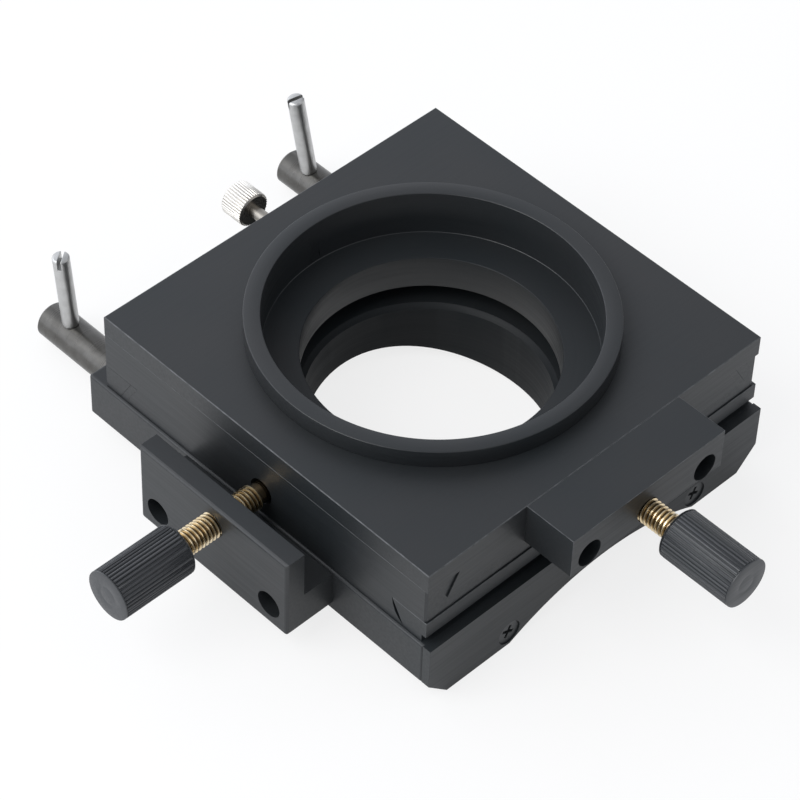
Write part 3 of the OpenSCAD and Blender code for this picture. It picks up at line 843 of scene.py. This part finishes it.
@dataclass
class Dresser:
    """Turns frame nodes into dressed pieces."""

    finishes: Finishes
    bodies: dict[str, str] = field(default_factory=dict)

    def __post_init__(self) -> None:
        """Notes which body each node belongs to."""
        groups = frame["record"]["behaviour"]["bodies"]
        self.bodies = {node: body for body, nodes in groups.items() for node in nodes}

    def plain(self, node: str, finish: str) -> None:
        """Keeps a frame node as it is, with a finish of its own."""
        self.finishes.dress(frame["nodes"][node], finish)
        LOG.info("%s keeps its frame mesh, finish %s", node, finish)

    def stand_in(self, piece: bpy.types.Object, node: str, finish: str) -> None:
        """Lets a piece stand for a frame node and ride on its body.

        Args:
            piece: The finished mesh object.
            node: The node that it replaces.
            finish: Its finish.
        """
        self.finishes.dress(piece, finish)
        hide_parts(node)
        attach(piece, self.bodies[node])
        LOG.info("%s stands for %s", piece.name, node)

    def bevelled(self, node: str, finish: str, width: float, steps: int = 2,
                 worn_and_highlit: WornHighlitEdges | None = None,
                 cutter: bpy.types.Object | None = None) -> bpy.types.Object:
        """Copies a frame node with its edges broken.

        Args:
            node: The frame node.
            finish: The copy's finish.
            width: Width of each bevel.
            steps: Facets in each bevel.
            worn_and_highlit: Which edges are rounded further and painted pale as wear and as an
                edge highlight, where any are.
            cutter: A piece that is cut out of the copy and then deleted.

        Returns:
            The dressed copy.
        """
        shape = bmesh.new()
        shape.from_mesh(frame["nodes"][node].data)
        bmesh.ops.remove_doubles(shape, verts=shape.verts, dist=WELD)
        bmesh.ops.dissolve_limit(shape, angle_limit=math.radians(COPLANAR_ANGLE),
                                 verts=shape.verts, edges=shape.edges)
        for face in shape.faces:
            face.material_index = 0
        if worn_and_highlit is not None:
            rounded(shape, worn_and_highlit.edges(shape), worn_and_highlit.width, worn_and_highlit.steps)
        piece = new_piece(node + "_dressed", shape)
        for _ in range(2):
            piece.data.materials.append(self.finishes.made[finish])
        if cutter is not None:
            add_cut(piece, cutter)
        bevel = piece.modifiers.new("broken_edges", "BEVEL")
        bevel.width = width
        bevel.segments = steps
        bevel.limit_method = "ANGLE"
        bevel.angle_limit = math.radians(BREAK_ANGLE)
        bevel.use_clamp_overlap = True
        bake_modifiers(piece)
        if cutter is not None:
            bpy.data.objects.remove(cutter)
        smooth(piece, FACET_ANGLE)
        for face in piece.data.polygons:
            if face.area > FLAT_AREA:
                face.use_smooth = False
        # Pale edges: partly wear, partly a painted edge highlight.
        paint_edge_wear_and_highlight(piece, worn_and_highlit.highlight_and_wear if worn_and_highlit is not None else 0.0)
        self.stand_in(piece, node, finish)
        return piece

    def bore_finish(self, piece: bpy.types.Object, finish: str, radius: float,
                    low: float, high: float) -> None:
        """Gives the faces round the light's path a finish of their own, here a lighter copy for
        painted sheen and darker copies for painted shade.

        Args:
            piece: The dressed piece.
            finish: The finish.
            radius: How far from the stage's middle the faces lie at most.
            low: Height of the lowest faces.
            high: Height of the highest ones.
        """
        mesh = piece.data
        mesh.materials.append(self.finishes.made[finish])
        index = len(mesh.materials) - 1
        for face in mesh.polygons:
            reach = max(math.hypot(*mesh.vertices[v].co.xy) for v in face.vertices)
            if reach < radius and low < face.center.z < high:
                face.material_index = index


@dataclass
class Collar:
    """The turned cup that holds the specimen ring or condenser."""

    dresser: Dresser
    rim_radius: float = 40.8 * MM
    rim_top: float = 4.5 * MM
    bore_radius: float = 37.0 * MM
    body_radius: float = 38.4 * MM
    seat_z: float = -7.2 * MM
    floor_z: float = -9.2 * MM
    sleeve_bore: float = 28.6 * MM
    sleeve_radius: float = 30.6 * MM
    sleeve_z: float = -16.0 * MM
    edge: float = 0.28 * MM
    steps: int = 256
    hole_radius: float = 1.55 * MM
    hole_z: float = -5.45 * MM
    drill_from: float = 35.5 * MM
    drill_length: float = 6.0 * MM
    drill_steps: int = 32
    wall_reach: float = 0.5 * MM
    below: float = 1.0 * MM
    margin: float = 0.1 * MM

    def build(self) -> None:
        """Turns the cup and drills its clamp hole."""
        ring = [
            (self.sleeve_bore, self.sleeve_z), (self.sleeve_radius, self.sleeve_z),
            (self.sleeve_radius, self.floor_z), (self.body_radius, self.floor_z),
            (self.body_radius, 0.0), (self.rim_radius, 0.0),
            (self.rim_radius, self.rim_top), (self.bore_radius, self.rim_top),
            (self.bore_radius, self.seat_z), (self.sleeve_bore, self.seat_z),
        ]
        cup = lathe("collar_turned", softened(ring, self.edge), self.steps, closed=True)
        drill = lathe("collar_drill", [
            (0.0, 0.0), (self.hole_radius, 0.0), (self.hole_radius, self.drill_length),
            (0.0, self.drill_length)], self.drill_steps)
        place(drill, Axis.Y, (0.0, self.drill_from, self.hole_z))
        add_cut(cup, drill)
        bake_modifiers(cup)
        bpy.data.objects.remove(drill)
        smooth(cup, TURNED_ANGLE)
        self.dresser.stand_in(cup, "collar", "anodised_turned")
        # Painted sheen on the sleeve wall, painted shade on the seat.
        self.dresser.bore_finish(cup, "sleeve_wall", self.sleeve_radius - self.wall_reach,
                                 self.sleeve_z - self.below, self.seat_z - self.margin)
        self.dresser.bore_finish(cup, "seat_matt", self.bore_radius - self.margin,
                                 self.seat_z - self.margin, self.seat_z + self.margin)


@dataclass
class DriveUnit:
    """A brass drive screw with its knurled knob, on one axis."""

    dresser: Dresser
    threads: ThreadTree
    ridges: RidgeTree
    name: str
    axis: Axis
    thread_end: float
    seed: int
    knob_radius: float = 6.0 * MM
    knob_groove: float = 0.42 * MM
    knob_edge: float = 0.3 * MM
    knob_steps: int = 128
    face_ring: tuple[float, float, float] = (2.1 * MM, 2.3 * MM, 2.5 * MM)
    face_ring_depth: float = 0.04 * MM
    lip_share: float = 0.3
    lip_rise_share: float = 0.25
    lip_gap: float = 0.05 * MM
    waist_share: float = 1.6
    rear_share: float = 1.5
    socket_gap: float = 0.05 * MM
    socket_depth: float = 8.0 * MM
    flute_count: int = 42
    flute_width: float = 0.66 * MM
    flute_least_share: float = 0.55
    flute_start_share: float = 0.7
    flute_taper: float = 0.3 * MM
    screw_radius: float = 3.0 * MM
    screw_steps: int = 64
    plain_end: float = 7.5 * MM
    root_from: float = 7.9 * MM
    thread_from: float = 7.4 * MM
    thread_depth: float = 0.6 * MM
    root_gap: float = 0.04 * MM
    pitch: float = 1.0 * MM
    neck_radius: float = 2.0 * MM
    neck_length: float = 2.6 * MM
    disc: float = 1.2 * MM

    def build(self) -> None:
        """Builds the knob and then the screw."""
        self.build_knob()
        self.build_screw()

    def lie_of(self, node: str) -> tuple[Vector, float]:
        """Gives the low end of a frame node on its own axis, and its length."""
        low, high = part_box(node)
        origin = (low + high) / 2
        origin[self.axis.value] = low[self.axis.value]
        return origin, (high - low)[self.axis.value]

    def build_knob(self) -> None:
        """Turns the knob's core, adds its knurling and sinks a faint ring in its face."""
        origin, length = self.lie_of(self.name + "_knob")
        rim, edge = self.knob_radius, self.knob_edge
        core = rim - self.knob_groove
        lip, waist = rim - self.lip_share * edge, self.waist_share * edge
        socket = self.screw_radius + self.socket_gap
        inner, centre, outer = self.face_ring
        face = [
            (0.0, 0.0), (inner, 0.0), (centre, self.face_ring_depth), (outer, 0.0),
            (rim - edge, 0.0), (lip, self.lip_rise_share * edge), (rim - self.lip_gap, edge),
            (core, waist), (core, length - waist), (lip, length - edge),
            (rim - self.rear_share * edge, length), (socket, length),
            (socket, length - self.socket_depth), (0.0, length - self.socket_depth),
        ]
        knob = lathe(self.name + "_knob_knurled", face, self.knob_steps)
        self.ridges.apply(knob, {
            "Count": self.flute_count, "Radius": core, "Width": self.flute_width,
            "Lowest height": self.flute_least_share * self.knob_groove,
            "Highest height": self.knob_groove, "Start": self.flute_start_share * edge,
            "Length": length - 2.0 * edge, "Taper": self.flute_taper,
            "Seed": self.seed, "Finish": self.dresser.finishes.made["black_knob"],
        })
        smooth(knob, RIDGE_ANGLE)
        place(knob, self.axis, origin)
        self.dresser.stand_in(knob, self.name + "_knob", "black_knob")

    def build_screw(self) -> None:
        """Turns the screw's core with its neck and collar, and cuts its thread."""
        origin, total = self.lie_of(self.name + "_screw")
        root = self.screw_radius - self.thread_depth - self.root_gap
        collar = total - self.disc
        neck = collar - self.neck_length
        outline = [
            (0.0, 0.0), (self.screw_radius, 0.0), (self.screw_radius, self.plain_end),
            (root, self.root_from), (root, neck), (self.neck_radius, neck),
            (self.neck_radius, collar), (self.screw_radius, collar),
            (self.screw_radius, total), (0.0, total),
        ]
        screw = lathe(self.name + "_screw_threaded", outline, self.screw_steps)
        room = self.thread_end - origin[self.axis.value] - self.thread_from
        finish = "brass_" + self.name
        self.threads.apply(screw, {
            "Crest radius": self.screw_radius, "Depth": self.thread_depth, "Pitch": self.pitch,
            "Start": self.thread_from, "Length": math.floor(room / self.pitch) * self.pitch,
            "Finish": self.dresser.finishes.made[finish],
        })
        smooth(screw, THREAD_ANGLE)
        place(screw, self.axis, origin)
        self.dresser.stand_in(screw, self.name + "_screw", finish)


@dataclass
class Thumbscrew:
    """The knurled clamping screw on the rear edge of the top plate."""

    dresser: Dresser
    ridges: RidgeTree
    head_radius: float = 4.3 * MM
    head_length: float = 6.5 * MM
    shank_radius: float = 1.5 * MM
    shank_edge: float = 0.3 * MM
    groove: float = 0.22 * MM
    edge: float = 0.35 * MM
    lip_share: float = 0.3
    steps: int = 96
    ridge_count: int = 36
    ridge_width: float = 0.56 * MM
    ridge_least_share: float = 0.9
    ridge_taper: float = 0.35 * MM
    seed: int = 7

    def build(self) -> None:
        """Turns the screw and knurls its head."""
        low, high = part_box("thumbscrew")
        shank = high.y - low.y - self.head_length
        top = shank + self.head_length
        core = self.head_radius - self.groove
        lip = self.lip_share * self.edge
        outline = [
            (0.0, 0.0), (self.shank_radius - self.shank_edge, 0.0),
            (self.shank_radius, self.shank_edge), (self.shank_radius, shank),
            (core - self.edge, shank), (core, shank + self.edge), (core, top - self.edge),
            (core - lip, top - lip), (core - self.edge, top), (0.0, top),
        ]
        screw = lathe("thumbscrew_knurled", outline, self.steps)
        self.ridges.apply(screw, {
            "Count": self.ridge_count, "Radius": core, "Width": self.ridge_width,
            "Lowest height": self.ridge_least_share * self.groove,
            "Highest height": self.groove, "Start": shank + lip,
            "Length": self.head_length - 2.0 * lip, "Taper": self.ridge_taper,
            "Seed": self.seed, "Finish": self.dresser.finishes.made["nickel_thumbscrew"],
        })
        smooth(screw, RIDGE_ANGLE)
        place(screw, Axis.Y, (0.0, low.y, (low.z + high.z) / 2))
        self.dresser.stand_in(screw, "thumbscrew", "nickel_thumbscrew")


@dataclass
class Plates:
    """The ground plates, rails, block and bracket, with their edges broken."""

    dresser: Dresser
    fine: float = 0.07 * MM
    soft: float = 0.3 * MM
    bore_reach: float = 32.0 * MM
    flank_foot: tuple[float, float] = (-43.4 * MM, -21.25 * MM)
    flank_head: tuple[float, float] = (-39.76 * MM, -14.95 * MM)
    relief_width: float = 0.9 * MM
    relief_depth: float = 6.0 * MM
    relief_shape: tuple[tuple[float, float], ...] = (
        (0.08, -0.3), (0.08, 0.15), (0.3, 0.8), (0.5, 1.0), (0.75, 0.7), (0.97, 0.05),
        (0.97, -0.3))

    def build(self) -> None:
        """Dresses every plate."""
        block_low, block_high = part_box("front_block")
        slide_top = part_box("cross_slide")[1].z
        rail_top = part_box("rail_front")[1].z
        base_low, base_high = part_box("base")
        bracket_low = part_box("bracket")[0]
        block_edges = WornHighlitEdges(((Axis.Z, 0.0), (Axis.X, block_low.x), (Axis.X, block_high.x),
                            (Axis.Y, block_low.y)))
        base_edges = WornHighlitEdges(((Axis.X, base_low.x), (Axis.X, base_high.x), (Axis.Y, base_high.y)),
                          0.6 * MM, 0.0)
        bracket_edges = WornHighlitEdges(((Axis.X, bracket_low.x), (Axis.Z, bracket_low.z)), 0.7 * MM, 0.0)
        for node, finish, width, worn_and_highlit in (
            ("top_plate", "anodised_plate", self.fine, WornHighlitEdges(((Axis.Z, 0.0),))),
            ("cross_slide", "anodised_side", self.fine,
             WornHighlitEdges(((Axis.Z, slide_top),), 0.1 * MM, 0.4)),
            ("front_block", "anodised_plate", self.fine, block_edges),
            ("base", "anodised_base", self.fine, base_edges),
            ("front_cover", "anodised_base", self.fine, None),
            ("bracket", "anodised_side", self.soft, bracket_edges),
            ("rail_front", "black_rail", self.fine,
             WornHighlitEdges(((Axis.Z, rail_top),), 0.15 * MM, 0.5)),
            ("rail_rear", "black_rail", self.fine, None),
        ):
            cutter = self.flank_relief() if node == "cross_slide" else None
            piece = self.dresser.bevelled(node, finish, width, worn_and_highlit=worn_and_highlit, cutter=cutter)
            if node == "base":
                # Painted shade: the darker, weaker-reflecting copy on the bore round the light's
                # path.
                self.dresser.bore_finish(piece, "light_bore", self.bore_reach,
                                         base_low.z, base_high.z)

    def flank_relief(self) -> bpy.types.Object:
        """Makes the cutter for the dark slit at each end of the slide's front dovetail flank.

        Returns:
            Two thin lenses that lie along the flank, one at each end of the slide.
        """
        low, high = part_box("cross_slide")
        foot, head = Vector(self.flank_foot), Vector(self.flank_head)
        along = head - foot
        inward = Vector((-along.y, along.x)).normalized() * -self.relief_width
        outline = [foot + along * share + inward * depth for share, depth in self.relief_shape]
        shape = bmesh.new()
        for ends in ((low.x - MM, low.x + self.relief_depth),
                     (high.x - self.relief_depth, high.x + MM)):
            near, far = ([shape.verts.new((x, p.x, p.y)) for p in outline] for x in ends)
            for i in range(len(outline)):
                j = (i + 1) % len(outline)
                shape.faces.new((near[i], near[j], far[j], far[i]))
            shape.faces.new(near)
            shape.faces.new(far)
        bmesh.ops.recalc_face_normals(shape, faces=shape.faces)
        return new_piece("flank_relief", shape)


@dataclass
class SmallParts:
    """Screws, posts, pins, gibs and keepers."""

    dresser: Dresser
    turned_edge: float = 0.12 * MM
    head_edge: float = 0.05 * MM
    hidden_screws: tuple[str, ...] = (
        "rail_screw", "bracket_screw", "block_screw", "x_gib_screw", "y_gib_screw")

    def build(self) -> None:
        """Dresses every small part."""
        for side in ("left", "right"):
            self.dresser.bevelled("post_" + side, f"post_{side}_steel", self.turned_edge)
            self.dresser.bevelled("pin_" + side, "steel_pin", self.turned_edge)
            self.dresser.bevelled("cover_screw_" + side, "plated_screw", self.head_edge, 1)
        for node in frame["nodes"]:
            if node.startswith(self.hidden_screws):
                self.dresser.plain(node, "black_screw")
        for name in ("x", "y"):
            self.dresser.plain(name + "_gib", "black_rail")
            self.dresser.plain(name + "_keeper", "bronze_strip")
        self.dresser.plain("clamp_tip", "black_tip")


@dataclass
class Studio:
    """Pale floor, even soft light and the camera at the photograph's angle."""

    floor_z: float
    eye: tuple[float, float, float] = (-0.37627, -0.3589, 0.52614)
    forward: tuple[float, float, float] = (0.4915, 0.4805, -0.7263)
    right: tuple[float, float, float] = (0.7185, -0.6951, 0.0264)
    lens: float = 154.8
    sensor: float = 36.0
    clip: tuple[float, float] = (0.01, 20.0)
    floor_half: float = 4.0
    floor_colour: Colour = (0.86, 0.86, 0.86)
    seen_share: float = 0.8
    glossy_share: float = 0.3
    sky: Colour = (0.90, 0.93, 1.0)
    glow_towards: tuple[float, float, float] = (-0.2, 0.75, -0.3)
    glow_range: tuple[float, float, float, float] = (-0.15, 0.75, 0.5, 2.3)
    lamps: tuple[tuple[str, tuple[float, float, float], float, float], ...] = (
        ("key", (-0.9, 0.2, 1.0), 0.9, 12.0), ("fill", (0.7, -0.9, 0.9), 1.2, 2.0))

    def build(self) -> None:
        """Builds the camera, floor, world and lamps."""
        self.camera()
        self.floor()
        self.world()
        for lamp in self.lamps:
            self.lamp(*lamp)
        bpy.context.scene.view_settings.view_transform = "Standard"

    def camera(self) -> None:
        """Places the camera as the photograph was taken."""
        back = -Vector(self.forward).normalized()
        side = Vector(self.right)
        side = (side - back * side.dot(back)).normalized()
        up = back.cross(side)
        turn = Matrix((side, up, back)).transposed().to_4x4()
        data = bpy.data.cameras.new("camera")
        data.lens, data.sensor_width = self.lens, self.sensor
        data.clip_start, data.clip_end = self.clip
        camera = bpy.data.objects.new("camera", data)
        camera.matrix_world = Matrix.Translation(Vector(self.eye)) @ turn
        bpy.context.scene.collection.objects.link(camera)
        bpy.context.scene.camera = camera

    def floor(self) -> None:
        """Lays a plain pale floor, which the camera sees near white with a soft shadow."""
        half = self.floor_half
        shape = bmesh.new()
        shape.faces.new([shape.verts.new((x, y, self.floor_z)) for x, y in (
            (-half, -half), (half, -half), (half, half), (-half, half))])
        floor = new_piece("floor", shape)
        material = bpy.data.materials.new("pale_floor")
        material.use_nodes = True
        material.node_tree.nodes.clear()
        graph = NodeBuilder(material.node_tree)
        rays = graph.node("ShaderNodeLightPath").outputs
        share = graph.maths("MAXIMUM",
                            graph.maths("MULTIPLY", rays["Is Camera Ray"], self.seen_share),
                            graph.maths("MULTIPLY", rays["Is Glossy Ray"], self.glossy_share))
        diffuse = graph.node("ShaderNodeBsdfDiffuse", Color=(*self.floor_colour, 1.0))
        glow = graph.node("ShaderNodeEmission", Color=(1.0, 1.0, 1.0, 1.0))
        mix = graph.node("ShaderNodeMixShader", Fac=share)
        graph.feed(mix.inputs[1], diffuse.outputs[0])
        graph.feed(mix.inputs[2], glow.outputs[0])
        graph.node("ShaderNodeOutputMaterial", Surface=mix.outputs[0])
        floor.data.materials.append(material)

    def world(self) -> None:
        """Surrounds the stage with pale light, brighter towards one side."""
        world = bpy.data.worlds.new("surround")
        bpy.context.scene.world = world
        world.use_nodes = True
        graph = NodeBuilder(world.node_tree)
        background = world.node_tree.nodes["Background"]
        towards = graph.vector_maths(
            "DOT_PRODUCT", graph.node("ShaderNodeTexCoord").outputs["Generated"],
            Vector(self.glow_towards).normalized(), "Value")
        near, far, weak, strong = self.glow_range
        glow = graph.node("ShaderNodeMapRange", {"interpolation_type": "SMOOTHSTEP"},
                          From_Min=near, From_Max=far, To_Min=weak, To_Max=strong, Value=towards)
        graph.feed(background.inputs["Color"], (*self.sky, 1.0))
        graph.feed(background.inputs["Strength"], glow.outputs["Result"])

    def lamp(self, name: str, centre: tuple[float, float, float], size: float,
             power: float) -> None:
        """Hangs a large soft lamp that faces the stage.

        Args:
            name: Its name.
            centre: Its centre.
            size: Its side.
            power: Its power in watts.
        """
        data = bpy.data.lights.new(name, "AREA")
        data.shape = "SQUARE"
        data.size = size
        data.energy = power
        lamp = bpy.data.objects.new(name, data)
        lamp.location = centre
        lamp.rotation_euler = (-Vector(centre)).to_track_quat("-Z", "Y").to_euler()
        bpy.context.scene.collection.objects.link(lamp)


def main() -> None:
    """Builds every sub-assembly, then the studio."""
    logging.basicConfig(level=logging.INFO, format="%(name)s: %(message)s")
    dresser = Dresser(Finishes())
    ridges, threads = RidgeTree(), ThreadTree()
    x_thread_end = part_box("cross_slide")[0].x - X_THREAD_STOP
    Plates(dresser).build()
    Collar(dresser).build()
    DriveUnit(dresser, threads, ridges, "x", Axis.X, x_thread_end, seed=3).build()
    DriveUnit(dresser, threads, ridges, "y", Axis.Y, Y_THREAD_END, seed=11).build()
    Thumbscrew(dresser, ridges).build()
    SmallParts(dresser).build()
    Studio(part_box("base")[0].z).build()


if __name__ == "__main__":
    main()
